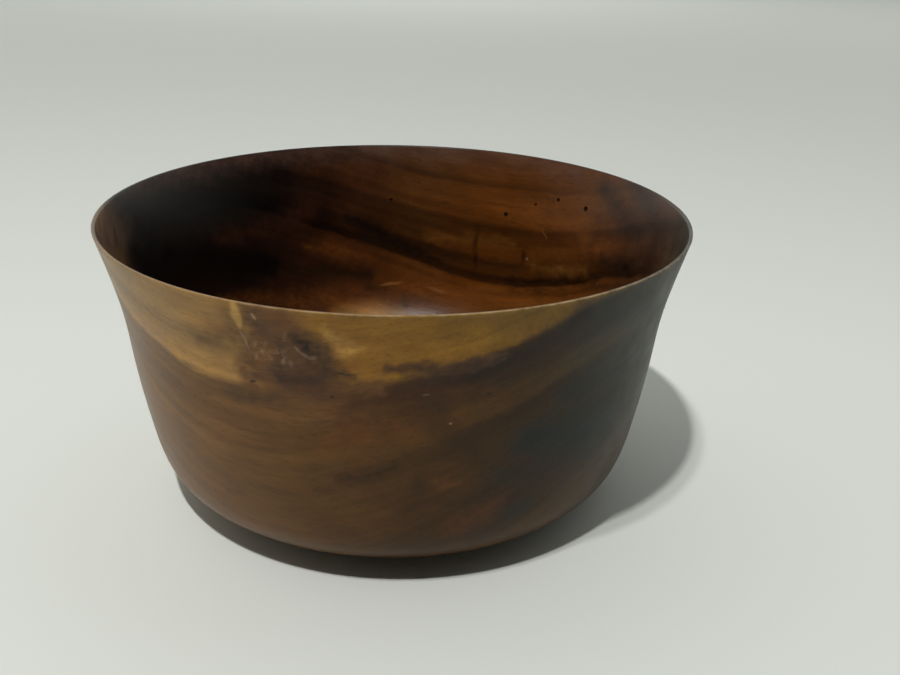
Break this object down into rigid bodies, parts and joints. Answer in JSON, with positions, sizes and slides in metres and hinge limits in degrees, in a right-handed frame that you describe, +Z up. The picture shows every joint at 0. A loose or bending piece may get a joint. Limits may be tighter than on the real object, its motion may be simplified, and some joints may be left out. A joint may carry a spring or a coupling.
{
  "type": "turned wooden bowl",
  "caption": "Round turned wooden bowl with a flared lip, gently waisted side, round shoulder and foot ring, and dark filler in small borer holes; stands freely and holds small goods.",
  "frame": {"origin": "middle of the foot ring's underside, on the surface that the bowl stands on", "axes": "+Z up along the bowl's turning axis, -Y to the front as seen in the picture, +X to the right"},
  "size_m": [0.1698, 0.1698, 0.083],
  "materials": {
    "oiled_wood": "satin oil and wax over figured hardwood, golden sapwood at the rim and grey-brown heartwood",
    "dark_filler": "dark brown stopping, sanded flush"
  },
  "bodies": {
    "root": {"bowl": "oiled_wood", "filler_plug_1": "dark_filler", "filler_plug_2": "dark_filler", "filler_plug_3": "dark_filler", "filler_plug_4": "dark_filler", "filler_plug_5": "dark_filler"}
  },
  "joints": []
}
